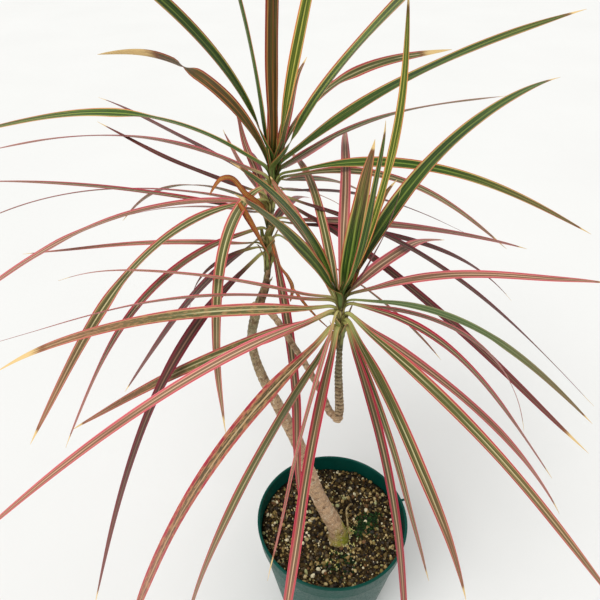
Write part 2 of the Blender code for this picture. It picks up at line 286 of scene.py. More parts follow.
def mesh_piece(name, vertices, faces, look, attributes=None, sharp=None):
    """A new object that rides on the plant's body, with float attributes on its points."""
    mesh = bpy.data.meshes.new(name)
    mesh.from_pydata(np.asarray(vertices, float).tolist(), [], faces)
    for key, values in (attributes or {}).items():
        layer = mesh.attributes.new(key, "FLOAT", "POINT")
        layer.data.foreach_set("value", np.asarray(values, np.float32))
    mesh.materials.append(look)
    mesh.shade_smooth()
    if sharp:
        mesh.set_sharp_from_angle(angle=math.radians(sharp))
    piece = placed(name, mesh)
    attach(piece, "root")
    return piece


def apply_modifiers(piece):
    """The piece's mesh becomes what its modifiers make of it."""
    graph = bpy.context.evaluated_depsgraph_get()
    made = bpy.data.meshes.new_from_object(piece.evaluated_get(graph))
    piece.modifiers.clear()
    piece.data = made


def loop_faces(rings, count):
    """Quads that join rings of points, with a cap on each end."""
    faces = [list(range(count))[::-1], [count * (rings - 1) + i for i in range(count)]]
    for ring in range(rings - 1):
        low, high = ring * count, (ring + 1) * count
        for i in range(count):
            j = (i + 1) % count
            faces.append([low + i, low + j, high + j, high + i])
    return faces


# ------------ materials


class Look:
    """A Principled material, with its nodes added one call at a time."""

    def __init__(self, name, roughness=0.5, specular=0.5):
        self.material = bpy.data.materials.new(name)
        self.material.use_nodes = True
        self.tree = self.material.node_tree
        self.shader = self.tree.nodes["Principled BSDF"]
        self.set("Roughness", roughness)
        self.set("Specular IOR Level", specular)

    def set(self, key, value):
        self.feed(self.shader.inputs[key], value)

    def feed(self, socket, value):
        if isinstance(value, bpy.types.NodeSocket):
            self.tree.links.new(value, socket)
        elif isinstance(value, tuple) and len(value) == 3 and socket.type == "RGBA":
            socket.default_value = (*value, 1)
        else:
            socket.default_value = value

    def add(self, kind, inputs, output=0, **settings):
        node = self.tree.nodes.new(kind)
        for key, value in settings.items():
            setattr(node, key, value)
        for key, value in inputs.items():
            self.feed(node.inputs[key], value)
        return node.outputs[output]

    def math(self, operation, a, b=0.0, c=0.0):
        return self.add("ShaderNodeMath", {0: a, 1: b, 2: c}, operation=operation)

    def times(self, a, b):
        return self.math("MULTIPLY", a, b)

    def plus(self, a, b):
        return self.math("ADD", a, b)

    def step(self, value, low, high, to=1.0):
        """0 below low and `to` above high, with an S curve between. High may be under low."""
        return self.add(
            "ShaderNodeMapRange",
            {"Value": value, "From Min": low, "From Max": high, "To Max": to},
            interpolation_type="SMOOTHSTEP",
        )

    def mix(self, factor, a, b):
        return self.add("ShaderNodeMix", {0: factor, 6: a, 7: b}, output=2, data_type="RGBA")

    def attribute(self, name):
        return self.add("ShaderNodeAttribute", {}, output="Fac", attribute_name=name)

    def xyz(self, x, y, z=0.0):
        return self.add("ShaderNodeCombineXYZ", {0: x, 1: y, 2: z})

    def position(self):
        return self.add("ShaderNodeTexCoord", {}, output="Object")

    def noise(self, vector, scale, detail=3.0, roughness=0.5):
        inputs = {"Vector": vector, "Scale": scale, "Detail": detail, "Roughness": roughness}
        return self.add("ShaderNodeTexNoise", inputs)

    def cells(self, vector, scale, feature="F1"):
        inputs = {"Vector": vector, "Scale": scale}
        return self.add("ShaderNodeTexVoronoi", inputs, output="Distance", feature=feature)

    def ramp(self, value, stops, interpolation="LINEAR"):
        """Stops are (place, display colour)."""
        node = self.tree.nodes.new("ShaderNodeValToRGB")
        ramp = node.color_ramp
        ramp.interpolation = interpolation
        for i, (place, colour) in enumerate(stops):
            stop = ramp.elements[i] if i < 2 else ramp.elements.new(place)
            stop.position = place
            stop.color = (*srgb(*colour), 1)
        self.feed(node.inputs[0], value)
        return node.outputs[0]

    def bump(self, height, strength, distance):
        inputs = {"Height": height, "Strength": strength, "Distance": distance}
        self.set("Normal", self.add("ShaderNodeBump", inputs))


def srgb(red, green, blue):
    """A display colour, 0 to 255, as linear RGB."""
    shares = (c / 255 for c in (red, green, blue))
    return tuple(s / 12.92 if s <= 0.04045 else ((s + 0.055) / 1.055) ** 2.4 for s in shares)


# Each tone: display colours of blade, streaks, centre stripe, line inside the margin and margin;
# where the margin starts from the midrib, how strong the centre stripe is, and how dry it is.
TONES = {
    "green": ((30, 54, 10), (86, 118, 34), (138, 158, 66), (206, 186, 104), (186, 84, 56), 0.85, 0.65, 0.0),
    "golden": ((54, 72, 18), (118, 128, 40), (188, 182, 84), (220, 196, 108), (204, 116, 64), 0.80, 0.7, 0.0),
    "sage": ((74, 92, 52), (108, 126, 80), (142, 152, 104), (158, 156, 108), (124, 120, 84), 0.85, 0.55, 0.1),
    "bronze": ((66, 46, 18), (96, 92, 30), (162, 96, 44), (196, 136, 76), (146, 58, 36), 0.78, 0.7, 0.05),
    "khaki": ((70, 72, 34), (114, 112, 60), (216, 206, 154), (200, 160, 112), (184, 78, 76), 0.72, 0.65, 0.1),
    "pink": ((98, 72, 50), (148, 104, 82), (222, 194, 156), (212, 146, 122), (198, 92, 98), 0.60, 0.65, 0.15),
    "crimson": ((74, 64, 38), (120, 96, 66), (218, 198, 152), (190, 100, 88), (180, 46, 66), 0.62, 0.65, 0.1),
    "maroon": ((58, 38, 30), (92, 58, 48), (150, 118, 92), (122, 58, 54), (116, 30, 44), 0.60, 0.6, 0.25),
    "dry": ((138, 92, 40), (214, 132, 56), (220, 172, 104), (186, 80, 40), (140, 52, 30), 0.7, 0.4, 0.8),
}
PALE_BASE = srgb(188, 190, 112)
GREEN_BASE = srgb(58, 84, 28)
# painted shade: the dark colour laid where the leaf sheaths overlap each other and the stem
SHEATH_SHADE = srgb(52, 50, 22)
STRAW = srgb(224, 192, 132)
SCORCH = srgb(128, 76, 44)
UNDERSIDE = srgb(146, 122, 96)
TAN = srgb(206, 164, 110)
BLUSH = srgb(196, 104, 98)


def leaf_look(name, blade, streak, centre, cream, margin, margin_from, centre_share, dryness):
    """Lengthwise stripes between a pale midrib and a coloured margin, from foot to straw tip."""
    look = Look(name, specular=0.24)
    across, along = look.attribute("across"), look.attribute("along")
    seed = look.times(look.attribute("seed"), 40.0)

    def striped(wide, long, scale, detail=2.0, roughness=0.5):
        place = look.xyz(look.times(across, wide), look.times(along, long), seed)
        return look.noise(place, scale, detail, roughness)

    def centred_noise(value, size):
        return look.times(look.math("SUBTRACT", value, 0.5), size)

    fine = striped(14.0, 3.0, 1.0, 4.0, 0.6)
    broad = striped(3.3, 2.4, 1.0)
    wander = look.noise(look.xyz(seed, look.times(along, 5.0)), 1.0, 2.0)
    from_centre = look.math("ABSOLUTE", look.plus(across, centred_noise(wander, 0.3)))
    from_middle = look.plus(look.math("ABSOLUTE", across), centred_noise(broad, 0.4))

    colour = look.mix(look.step(fine, 0.44, 0.64), blade, streak)
    pale_line = look.times(look.step(fine, 0.60, 0.66, 0.8), look.step(broad, 0.48, 0.6))
    colour = look.mix(pale_line, colour, cream)
    stripe = look.times(look.step(from_centre, 0.14, 0.06), look.step(broad, 0.34, 0.54))
    colour = look.mix(look.times(stripe, centre_share), colour, centre)
    colour = look.mix(look.step(from_middle, margin_from - 0.16, margin_from - 0.05, 0.8), colour, cream)
    deep = tuple(0.55 * c for c in margin)
    shade = look.mix(look.step(fine, 0.38, 0.62), margin, deep)
    colour = look.mix(look.step(from_middle, margin_from - 0.04, margin_from + 0.06), colour, shade)
    # painted highlight: a lighter line of the margin colour along the leaf's outermost edge
    rim = look.step(look.math("ABSOLUTE", across), 0.90, 0.97, 0.45)
    colour = look.mix(rim, colour, tuple(min(1.9 * c + 0.04, 1) for c in margin))
    brightness = look.plus(look.times(look.attribute("seed"), 0.34), 0.83)
    colour = look.add("ShaderNodeHueSaturation", {"Value": brightness, "Color": colour})

    spots = striped(4.0, 36.0, 1.0, 5.0, 0.7)
    wear = look.attribute("wear")
    limit = look.math("MULTIPLY_ADD", wear, -0.2, 0.64 - 0.16 * dryness)
    worn = look.step(spots, limit, look.plus(limit, 0.08), 0.3 + 0.5 * dryness)
    worn = look.times(worn, look.plus(wear, 1.0))
    colour = look.mix(worn, colour, look.mix(wear, SCORCH, TAN))
    age = look.attribute("age")
    blush = look.step(along, 0.35, 0.95, max(0.62 - 1.6 * dryness, 0))
    blush = look.times(blush, look.math("SUBTRACT", 1.0, age))
    colour = look.mix(look.times(blush, look.step(fine, 0.3, 0.6)), colour, BLUSH)
    paler = look.times(look.attribute("under"), look.math("MULTIPLY_ADD", age, -0.2, 0.2))
    colour = look.mix(paler, colour, UNDERSIDE)
    foot = look.mix(age, PALE_BASE, GREEN_BASE)
    reach = look.attribute("reach")
    clasp = look.times(look.step(reach, 0.024, 0.003), look.step(fine, 0.2, 0.5, 0.75))
    colour = look.mix(clasp, colour, foot)
    # painted shade: the sheath's sides near the stem and its lower end are darkened where the sheaths overlap
    # each other and the stem
    edge = look.step(look.math("ABSOLUTE", across), 0.62, 0.95, 0.85)
    edge = look.times(edge, look.step(reach, 0.012, 0.002))
    sheath_shade = look.math("MAXIMUM", edge, look.step(reach, -0.003, -0.007, 0.8))
    colour = look.mix(sheath_shade, colour, SHEATH_SHADE)
    end = look.plus(along, centred_noise(spots, 0.05))
    colour = look.mix(look.step(end, 0.91, 0.94, 0.7), colour, SCORCH)
    colour = look.mix(look.step(end, 0.938, 0.956), colour, STRAW)
    look.set("Base Color", colour)

    rough = look.plus(look.step(end, 0.93, 0.96, 0.35), look.step(fine, 0.3, 0.8, 0.14))
    look.set("Roughness", look.plus(rough, 0.38 + 0.3 * dryness))
    look.bump(striped(24.0, 2.2, 1.0), 0.45, 0.35 * MM)
    return look.material


LEAF_LOOKS = {
    tone: leaf_look(f"leaf_{tone}", *(srgb(*colour) for colour in values[:5]), *values[5:])
    for tone, values in TONES.items()
}


def bark_look():
    """Bark by zone: a moist green foot, tan and fissured, grey-green, then dark and peeling."""
    look = Look("cane_bark", specular=0.25)
    zone = look.attribute("zone")
    scar = look.attribute("scar")
    turn = look.attribute("turn")
    reach = look.attribute("reach")
    place = look.position()
    mottle = look.noise(place, 160.0, 5.0, 0.6)
    blotch = look.noise(place, 60.0, 3.0, 0.55)

    def over_skin(round_scale, long_scale):
        return look.xyz(look.times(turn, round_scale), look.times(reach, long_scale))

    ragged = look.math("SUBTRACT", look.noise(over_skin(4.0, 30.0), 1.0), 0.5)
    leaning = look.math("SUBTRACT", look.add("ShaderNodeSeparateXYZ", {0: place}), 5 * MM)
    ragged = look.math("MULTIPLY_ADD", leaning, -0.02 / MM, ragged)
    foot = look.times(ragged, look.step(zone, 0.12, 0.0, 0.3))
    skin = look.ramp(
        look.plus(look.plus(zone, foot), look.times(look.math("SUBTRACT", blotch, 0.5), 0.14)),
        (
            (0.0, (142, 148, 42)), (0.04, (176, 160, 84)), (0.08, (198, 164, 128)),
            (0.35, (206, 172, 138)), (0.55, (192, 168, 130)), (0.70, (158, 152, 116)),
            (0.82, (122, 124, 86)), (0.88, (92, 96, 58)), (0.94, (96, 112, 46)), (1.0, (112, 130, 54)),
        ),
    )
    crackle = look.cells(over_skin(22.0, 420.0), 1.0, feature="DISTANCE_TO_EDGE")
    skin = look.mix(look.step(mottle, 0.50, 0.64, 0.6), skin, srgb(128, 94, 66))
    skin = look.mix(look.step(blotch, 0.56, 0.68, 0.6), skin, srgb(220, 200, 170))
    flecks = look.noise(place, 520.0, 2.0)
    skin = look.mix(look.step(flecks, 0.62, 0.68, 0.8), skin, srgb(228, 216, 190))
    fibre = look.noise(over_skin(9.0, 60.0), 1.8, 5.0, 0.65)
    skin = look.mix(look.step(fibre, 0.54, 0.68, 0.5), skin, srgb(96, 72, 50))
    skin = look.mix(look.step(crackle, 0.09, 0.02, 0.55), skin, srgb(84, 60, 42))
    skin = look.mix(look.times(scar, 0.85), skin, srgb(54, 38, 26))
    look.set("Base Color", skin)
    rough = look.plus(look.step(mottle, 0.3, 0.7, 0.2), 0.62)
    look.set("Roughness", rough)
    height = look.plus(look.times(fibre, 0.7), look.times(mottle, 0.5))
    look.bump(height, 0.7, 0.6 * MM)
    return look.material


def dead_bark_look(name, dark, light):
    look = Look(name, roughness=0.85, specular=0.2)
    place = look.position()
    fibre = look.noise(place, 260.0, 4.0, 0.6)
    look.set("Base Color", look.mix(look.step(fibre, 0.35, 0.68), dark, light))
    look.bump(fibre, 0.5, 0.4 * MM)
    return look.material


def root_look():
    look = Look("root_skin", roughness=0.75, specular=0.25)
    place = look.position()
    tint = look.noise(place, 300.0, 4.0)
    look.set("Base Color", look.mix(look.step(tint, 0.4, 0.62), srgb(190, 170, 122), srgb(128, 104, 66)))
    look.bump(tint, 0.4, 0.3 * MM)
    return look.material


def soil_look():
    look = Look("soil", roughness=0.95, specular=0.15)
    place = look.position()
    crumbs = look.cells(place, 420.0)
    tint = look.noise(place, 220.0, 4.0, 0.6)
    dark, brown = srgb(24, 17, 8), srgb(74, 58, 30)
    colour = look.mix(look.step(tint, 0.4, 0.66), dark, brown)
    colour = look.mix(look.step(crumbs, 0.45, 0.1, 0.6), colour, srgb(22, 14, 9))
    look.set("Base Color", colour)
    look.bump(look.plus(tint, crumbs), 0.9, 1.0 * MM)
    return look.material


def grain_look():
    """Each grain takes its colour from its own seed, with dust and stains over it."""
    look = Look("grains", specular=0.5)
    seed = look.attribute("seed")
    place = look.position()
    colour = look.ramp(
        seed,
        (
            (0.0, (30, 21, 8)), (0.24, (60, 46, 18)), (0.40, (98, 78, 34)),
            (0.52, (138, 116, 58)), (0.62, (112, 74, 34)), (0.68, (164, 138, 82)),
            (0.80, (200, 178, 124)), (0.89, (230, 218, 180)), (0.96, (172, 172, 118)),
        ),
        "CONSTANT",
    )
    stain = look.noise(place, 520.0, 4.0, 0.6)
    colour = look.mix(look.step(stain, 0.48, 0.66, 0.55), colour, srgb(60, 42, 24))
    look.set("Base Color", colour)
    look.set("Roughness", look.plus(look.step(stain, 0.3, 0.7, 0.3), 0.42))
    look.bump(stain, 0.6, 0.4 * MM)
    return look.material


def tuft_look(name, shade, light, other):
    """Mottled shade and light, mixed with a third colour by each tuft's own seed."""
    look = Look(name, roughness=0.9, specular=0.2)
    tint = look.noise(look.position(), 500.0, 3.0)
    mottled = look.mix(look.step(tint, 0.4, 0.65), shade, light)
    look.set("Base Color", look.mix(look.attribute("seed"), mottled, other))
    look.bump(tint, 0.6, 0.4 * MM)
    return look.material


def pot_look():
    """Satin plastic with fine scuffs, and dust where soil and water have run down it."""
    look = Look("pot_plastic", specular=0.2)
    look.set("IOR", 1.38)
    place = look.position()
    cloud = look.noise(place, 26.0, 3.0)
    scuff = look.noise(place, 420.0, 5.0, 0.7)
    colour = look.mix(look.step(cloud, 0.35, 0.7), srgb(4, 64, 54), srgb(8, 74, 64))
    dust = look.times(look.step(scuff, 0.60, 0.76, 0.35), look.step(cloud, 0.46, 0.7))
    colour = look.mix(dust, colour, srgb(48, 92, 80))
    look.set("Base Color", colour)
    rough = look.plus(look.step(scuff, 0.4, 0.7, 0.18), look.step(cloud, 0.3, 0.7, 0.1))
    look.set("Roughness", look.plus(rough, 0.30))
    look.bump(scuff, 0.12, 0.2 * MM)
    return look.material


# ------------ leaves

DRY_FROM = 0.94
SHEATH = 8 * MM
REJOIN = 9 * MM
SHEATH_REACH = 25 * MM
BLADE_THICKNESS = 0.45 * MM
MIDRIB = 0.22 * MM
ACROSS = np.linspace(-1, 1, 9)
BLADE_STEPS = 44
SHEATH_STEPS = 14
THINNEST = 0.12 * MM
FOOT_GAP = 0.9 * MM
SWAY = 7 * MM
# In degrees: how far leaves roll and twist at random, and how much they wobble.
ROLL, TWIST, WOBBLE = 24, 20, 16
OLD_NECK, YOUNG_NECK = 0.42, 0.55
OLD_WIDTH, YOUNG_WIDTH = 0.93, 1.0
STEM_SHARE = 0.8
NECK_FROM, SIDE_NECK_FROM = 440, 424


def stem_curve(stem, samples=6):
    """The centre line in metres, and the radius at each point."""
    rows = through([(*place, diameter) for place, diameter in stem], samples)
    return rows[:, :3] * MM, rows[:, 3] * MM / 2


def at_height(height, path, rows):
    """The values of the rows where a rising path passes a height."""
    return np.array([np.interp(height, path[:, 2], column) for column in rows.T])


def eased(t, bend):
    """0 to 1 along the leaf: how much of its bend it has made. Under 1 it bends early."""
    return t**bend if bend >= 1 else 1 - (1 - t) ** (1 / bend)


def walk(start, slopes, outward, stops):
    """The points reached from start by following slopes, in radians, in the leaf's plane."""
    way = np.cos(slopes)[:, None] * outward + np.sin(slopes)[:, None] * np.array([0, 0, 1])
    steps = (way[1:] + way[:-1]) / 2 * np.diff(stops)[:, None]
    return start + np.vstack([np.zeros(3), np.cumsum(steps, axis=0)])


def blade_mesh(name, line, side, normal, half, curl, share, marks, look):
    """A thin blade round a midrib. Half is its half width, and curl half the angle it wraps."""
    q = ACROSS[None, :]
    curl = curl[:, None]
    half = half[:, None]
    x = half * np.sin(q * curl) / curl
    z = half * (1 - np.cos(q * curl)) / curl
    thick = BLADE_THICKNESS / 2 * np.sqrt(1 - 0.96 * q**2) * (1 - 0.5 * share[:, None])
    rib = MIDRIB * np.exp(-((q / 0.16) ** 2)) * (1 - share[:, None])
    middle = line[:, None] + x[..., None] * side[:, None] + z[..., None] * normal[:, None]
    top = middle + thick[..., None] * normal[:, None]
    below = middle - (thick + rib)[..., None] * normal[:, None]
    rings = np.concatenate([top, below[:, -2:0:-1]], axis=1)
    rows, count = rings.shape[:2]
    flat = np.concatenate([ACROSS, ACROSS[-2:0:-1]])
    under = np.r_[np.zeros(len(ACROSS)), np.ones(len(ACROSS) - 2)]
    attributes = {"across": np.tile(flat, rows), "under": np.tile(under, rows)}
    for key, value in marks.items():
        attributes[key] = np.repeat(np.broadcast_to(value, rows), count)
    faces = [face[::-1] for face in loop_faces(rows, count)]
    return mesh_piece(name, rings.reshape(-1, 3), faces, look, attributes, sharp=70)


def sheathed_leaf(name, stem, height, row, seed, age, special):
    """A leaf from its sheath on the stem, over its fold and out along the CAD leaf's midrib."""
    azimuth, rise, tip_rise, bend, length, width, tone = row
    rng = np.random.default_rng(seed)
    length, width = length * MM, width * MM * special.get("width", 1)
    width *= OLD_WIDTH + (YOUNG_WIDTH - OLD_WIDTH) * age
    path, radii, along_stem = stem
    centre = at_height(height, path, path)
    tangent = unit(at_height(height, path, along_stem))
    radius = np.interp(height, path[:, 2], radii)
    heading = math.radians(azimuth)
    outward = np.array([math.cos(heading), math.sin(heading), 0])
    sideways = np.array([-math.sin(heading), math.cos(heading), 0])
    foot = centre + (radius + FOOT_GAP) * outward

    blade_stops = np.linspace(0, 1, BLADE_STEPS) ** 1.15 * (length - REJOIN) + REJOIN
    stops = np.concatenate([np.linspace(-SHEATH, REJOIN, SHEATH_STEPS + 1)[:-1], blade_stops])
    t = np.clip(stops / length, 0, 1)
    cad_slope = np.radians(rise + (tip_rise - rise) * eased(t, bend))
    stem_slope = math.atan2(tangent[2], tangent @ outward)
    turned = smooth(stops, -2 * MM, REJOIN)
    slope = stem_slope + (cad_slope - stem_slope) * turned
    line = walk(np.zeros(3), slope, outward, stops)
    cad_stops = np.linspace(0, REJOIN, 8)
    cad_slopes = np.radians(rise + (tip_rise - rise) * eased(cad_stops / length, bend))
    joins = walk(foot, cad_slopes, outward, cad_stops)[-1]
    line += joins - line[SHEATH_STEPS]
    base = centre - SHEATH * tangent + (STEM_SHARE * radius + 0.15 * MM) * outward
    line += (base - line[0]) * (1 - smooth(stops, -SHEATH, SHEATH_REACH))[:, None]
    sway = np.array([grain_noise(seed * 3.7, 2.2 * u) for u in t]) * SWAY * t**1.5
    line += sway[:, None] * sideways

    normal = np.cos(slope)[:, None] * np.array([0, 0, 1]) - np.sin(slope)[:, None] * outward
    spin = special.get("roll", rng.uniform(-ROLL, ROLL)) + rng.uniform(-TWIST, TWIST) * t
    wobble = np.array([grain_noise(seed * 1.3 + 9, 3.1 * u) for u in t]) * WOBBLE
    fold_at, fold_turn = special.get("fold", (0.5, 0))
    spin += fold_turn * smooth(t, fold_at - 0.06, fold_at + 0.06)
    line += (special.get("bow", 0) * MM * np.sin(math.pi * t))[:, None] * outward
    spin = np.radians((spin + wobble) * smooth(t, 0.02, 0.2))[:, None]
    side = np.cos(spin) * sideways + np.sin(spin) * normal
    normal = np.cos(spin) * normal - np.sin(spin) * sideways

    neck = (OLD_NECK + (YOUNG_NECK - OLD_NECK) * age) * width
    sheath = 2.4 * STEM_SHARE * radius
    whole = neck + (width - neck) * smooth(stops, 2 * MM, (0.2 + 0.12 * age) * length)
    whole += (sheath - neck) * (1 - smooth(stops, -SHEATH, 6 * MM))
    whole *= np.maximum(1 - t ** special.get("taper", 3.4), 0) ** 0.85
    half = np.maximum(whole / 2, THINNEST)
    fold = 0.42 - 0.28 * t
    curl = fold + (1.1 - fold) * (1 - smooth(stops, -SHEATH, (12 + 30 * age) * MM))
    dried = np.interp(t, (0, special.get("dry_from", DRY_FROM), 1), (0, DRY_FROM, 1))
    marks = {"along": dried, "reach": stops, "seed": rng.random(), "age": age}
    marks["wear"] = special.get("wear", 0)
    look = LEAF_LOOKS[special.get("look", tone)]
    return blade_mesh(name, line, side, normal, half, curl, t, marks, look)


def stem_top(stem, heights):
    """The rising end of a stem, where its leaves grow: points, radii and the way along."""
    path, radii = stem_curve(stem)
    rising = np.nonzero(path[:, 2] >= heights[0] * MM - 10 * MM)[0]
    first = rising[rising > len(path) // 2][0]
    along = unit(np.gradient(path, axis=0))
    return path[first:], radii[first:], along[first:]


def build_shoot(name, stem, heights, leaves, special, extras, stubs, first_seed):
    """The leaves of one shoot: those of the CAD, the small extra ones, and the bare bases below."""
    top = stem_top(stem, heights)
    for i, row in enumerate(leaves):
        share = (i / (len(leaves) - 1)) ** LEAF_CROWDING
        height = (heights[0] + (heights[1] - heights[0]) * share) * MM
        age = float(smooth(i / len(leaves), 0.45, 0.9))
        own = special.get(i + 1, {})
        leaf = sheathed_leaf(f"{name}_blade_{i + 1:02d}", top, height, row, first_seed + i, age, own)
        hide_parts(f"{name}_leaf_{i + 1:02d}")
    for i, (height, row) in enumerate(extras):
        age = float(smooth((height - heights[0]) / (heights[1] - heights[0]), 0.5, 0.9))
        small = f"{name}_small_blade_{i + 1:02d}"
        sheathed_leaf(small, top, height * MM, row, first_seed + EXTRA_SEED + i, age, {})
    low, high, count = stubs
    for i in range(count):
        azimuth = FIRST_STUB_AZIMUTH + GOLDEN_ANGLE * i
        row = (azimuth, 80, 68, 1, 13 + 4 * (i % 3), 6, "khaki" if i % 2 else "green")
        height = (low + (high - low) * i / (count - 1)) * MM
        stub = f"{name}_leaf_stub_{i + 1:02d}"
        sheathed_leaf(stub, top, height, row, first_seed + STUB_SEED + i, STUB_AGE, {})


build_shoot("tall_shoot", TRUNK, TALL_SHOOT_LEAVES, TALL_SHOOT, TALL_SPECIAL, TALL_EXTRAS, TALL_STUBS, 100)
build_shoot(
    "side_shoot", SIDE_BRANCH, SIDE_SHOOT_LEAVES, SIDE_SHOOT, SIDE_SPECIAL, SIDE_EXTRAS, SIDE_STUBS, 300
)

# Dried leaves: greatest width in mm, spin in degrees, and points in mm along the midrib.
DRIED = (
    ("folded_dead_leaf", 4.5, 60, (
        (-57, 20, 494), (-64, 14, 508), (-72, 12, 516), (-80, 12, 527), (-87, 11, 528), (-92, 11, 523),
        (-97, 11, 515),
    )),
    ("dead_sheath", 6.5, 80, (
        (-76, 6, 512), (-70, 4, 502), (-65, 3, 492), (-61, 3, 482), (-57, 3, 473), (-56, 4, 464),
    )),
    ("twisted_dead_leaf", 5, 150, (
        (-54, 8, 478), (-48, -14, 474), (-42, -19, 467), (-39, -22, 459), (-41, -22, 447),
    )),
    ("thin_dead_leaf", 3, 60, (
        (-39, -24, 461), (-34, -28, 456), (-28, -31, 449), (-18, -38, 441), (-9, -44, 436),
    )),
)


def dried_leaf(name, width, spin, points, seed):
    """A twisted, half rolled blade that ends blunt."""
    path, stops = evenly(through(np.array(points, float) * MM, 8), 1.6 * MM)
    t = stops / stops[-1]
    _, side, normal = frames(path)
    turn = np.radians(spin * t)[:, None]
    side, normal = np.cos(turn) * side + np.sin(turn) * normal, np.cos(turn) * normal - np.sin(turn) * side
    half = width * MM / 2 * smooth(t, -0.25, 0.25) * np.sqrt(np.maximum(1 - t**3, 0.002))
    marks = {"along": 0.9 * t, "reach": 0.03 + stops, "seed": seed, "age": 0, "wear": 0}
    blade_mesh(name, path, side, normal, half, 0.9 - 0.5 * t, t, marks, LEAF_LOOKS["dry"])


for number, dried in enumerate(DRIED):
    dried_leaf(*dried, 0.13 * (number + 1))

# ------------ cane

SOIL_TOP = 127 * MM
FLARE_HEIGHT = 9 * MM
SIDE_JOINT = 7
BARK_MARKS = ("zone", "scar", "turn", "reach")


def even_rows(stem, step):
    """Rows of a place in metres and a diameter in mm at even steps along a stem, and their distances."""
    rows = through([(*place, diameter) for place, diameter in stem], 8)
    rows[:, :3] *= MM
    return evenly(rows, step)


def bark_tube(stem, sides, step, zones, scars, seed, flare=0.0):
    """Points, faces and marks of a ringed tube.

    Scars is the rings' (spacing, depth) in mm at each end, and a groove's share of the spacing.
    """
    rows, stops = even_rows(stem, step)
    path, radii = rows[:, :3], rows[:, 3] * MM / 2
    _, left, up = frames(path)
    share = stops / stops[-1]
    first, last, groove_share = scars
    spacing = first[0] + (last[0] - first[0]) * share
    depth = first[1] + (last[1] - first[1]) * share
    phase = np.cumsum(np.r_[0, np.diff(stops)] / (spacing * MM))
    zone = zones[0] + (zones[1] - zones[0]) * share
    vertices, marks = [], []
    for i in range(len(path)):
        swell = flare * math.exp(-((max(path[i][2] - SOIL_TOP, 0) / FLARE_HEIGHT) ** 2))
        for k, (x, y) in enumerate(around(1, sides)):
            wave = phase[i] + 0.35 * grain_noise(1.2 * x + seed, 1.2 * y, 0.5 * phase[i])
            near = abs(wave - round(wave))
            strength = 0.6 + 0.8 * grain_noise(x * 2, y * 2 + seed, wave)
            groove = math.exp(-((near / groove_share) ** 2)) * max(strength, 0.15)
            lump = 0.07 * grain_noise(x * 1.5, y * 1.5 + seed, stops[i] * 60)
            lump += 0.04 * grain_noise(x * 5, y * 5, stops[i] * 320 + seed)
            bulge = 0.5 - math.cos(math.tau * wave) * 0.5
            radius = radii[i] * (1 + lump + swell) + depth[i] * MM * (0.5 * bulge - groove)
            vertices.append(path[i] + radius * (x * left[i] + y * up[i]))
            scar = min(groove * depth[i] * 2.2, 1)
            marks.append((zone[i], scar, 1 - abs(2 * k / sides - 1), stops[i]))
    return vertices, loop_faces(len(path), sides), marks


def knob(centre, size, seed, zone):
    """A lumpy closed burl where branches meet."""
    ball, faces = icosphere(4)
    points = []
    for v in ball:
        lump = 1 + 0.16 * noise.noise(Vector(v) * 1.7 + Vector((seed, 0, 0)))
        lump += 0.05 * noise.noise(Vector(v) * 5)
        points.append(np.array(centre) * MM + v * lump * np.array(size) * MM)
    return points, faces.tolist(), [(zone, 0, 0.5, point[2]) for point in points]


def slim_top(stem, from_height):
    """The stem with its leafy top thinner: there the CAD's cane stands for stem and sheaths together."""
    return tuple((place, size * (STEM_SHARE if place[2] >= from_height else 1)) for place, size in stem)


def build_cane():
    """Trunk, drooping branch, its rising end and two burls, united into one closed skin."""
    look = bark_look()
    trunk = slim_top(TRUNK, NECK_FROM)
    rising = (((-5, -50, 352), 4.5),) + slim_top(SIDE_BRANCH[SIDE_JOINT:], SIDE_NECK_FROM)
    parts = [
        bark_tube(trunk, 28, 1.5 * MM, (-0.12, 1.0), ((9, 0.3), (4, 0.55), 0.09), 1, flare=0.18),
        bark_tube(SIDE_BRANCH[:SIDE_JOINT + 1], 20, 1.0 * MM, (0.5, 0.4), ((6, 0.35), (4, 0.45), 0.12), 2),
        bark_tube(rising, 20, 0.9 * MM, (0.45, 1.0), ((3.4, 1.0), (3.8, 0.35), 0.2), 3),
        knob((-69, -1, 424), (5.2, 4.6, 5.8), 1, 0.4),
        knob((-5, -51, 357), (4.0, 3.8, 5.4), 2, 0.45),
    ]
    everything = np.vstack([points for points, _, _ in parts])
    carried = kdtree.KDTree(len(everything))
    for k, point in enumerate(everything):
        carried.insert(point, k)
    carried.balance()
    cane = None
    for i, (points, faces, _) in enumerate(parts):
        piece = mesh_piece(f"cane_part_{i}", points, faces, look)
        if cane is None:
            cane = piece
            cane.name = "ringed_cane"
            continue
        union = cane.modifiers.new("union", "BOOLEAN")
        union.operation = "UNION"
        union.object = piece
        union.solver = "EXACT"
        apply_modifiers(cane)
        bpy.data.objects.remove(piece)
    nearest = [carried.find(vertex.co)[1] for vertex in cane.data.vertices]
    marks = np.vstack([marks for _, _, marks in parts])[nearest].astype(np.float32)
    for key, values in zip(BARK_MARKS, marks.T):
        layer = cane.data.attributes.new(key, "FLOAT", "POINT")
        layer.data.foreach_set("value", values.copy())
    cane.data.shade_smooth()
    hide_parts("cane")


build_cane()

# ------------ bark flakes, twig and root


# Centre lines in mm, with a diameter at each point.
SURFACE_ROOT = (
    ((24, 26, 124), 2.2), ((23, 24, 131), 2.0), ((20, 20, 135), 1.9), ((16.5, 14, 136.5), 1.8),
    ((16, 7, 136), 1.8), ((16.5, 0, 134), 2.0), ((17, -6, 130), 2.4), ((17, -10, 124), 2.6),
)
DEAD_TWIG = (
    ((-60, 2, 448), 1.6), ((-57.5, 0, 449), 1.2), ((-55.5, -0.5, 451), 0.9), ((-54.5, -0.5, 454), 0.5),
)


